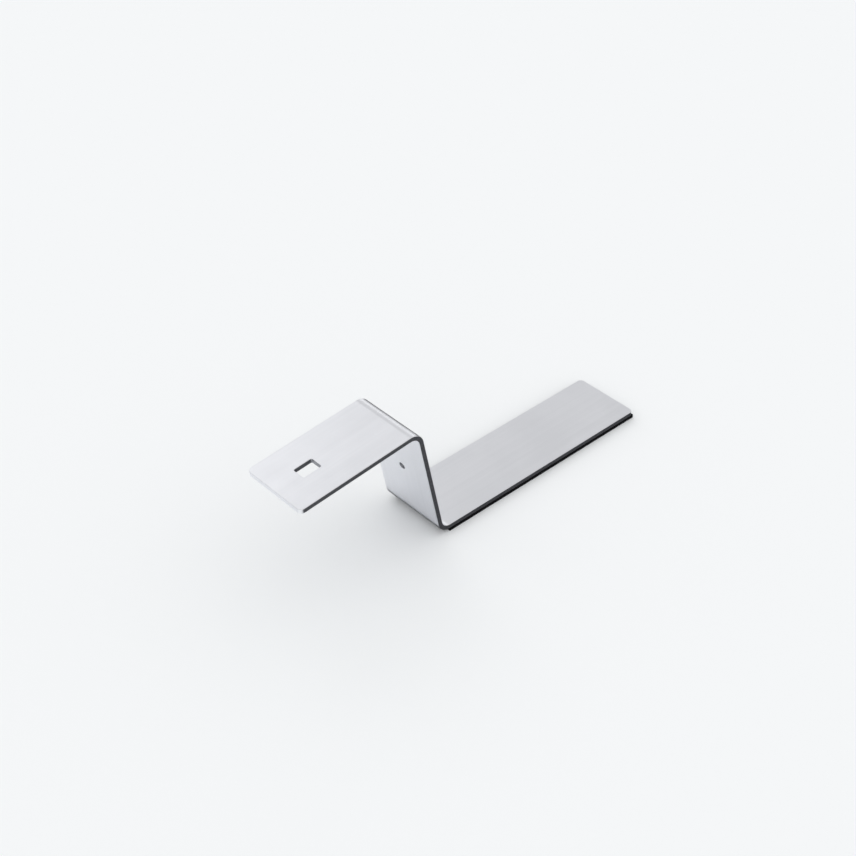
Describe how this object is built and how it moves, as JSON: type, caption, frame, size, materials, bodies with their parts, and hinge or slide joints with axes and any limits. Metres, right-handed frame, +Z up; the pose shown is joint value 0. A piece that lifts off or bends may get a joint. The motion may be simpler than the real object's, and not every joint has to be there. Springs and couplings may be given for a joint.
{
  "type": "flat roof solar mounting foot",
  "caption": "Z-shaped folded aluminium foot with an oblong slot in its sloped upper flange, a small hole in its leaning web and a rubber strip under its long lower flange.",
  "frame": {"origin": "on the roof surface, under the middle of the overall length and width", "axes": "+X along the strip towards the free end of the long lower flange, +Z up, Y across the strip"},
  "size_m": [0.2626, 0.045, 0.0846],
  "materials": {
    "aluminium": "plain mill finish, satin",
    "rubber": "matt black"
  },
  "bodies": {
    "root": {"folded_bracket": "aluminium", "rubber_pad": "rubber"}
  },
  "joints": []
}
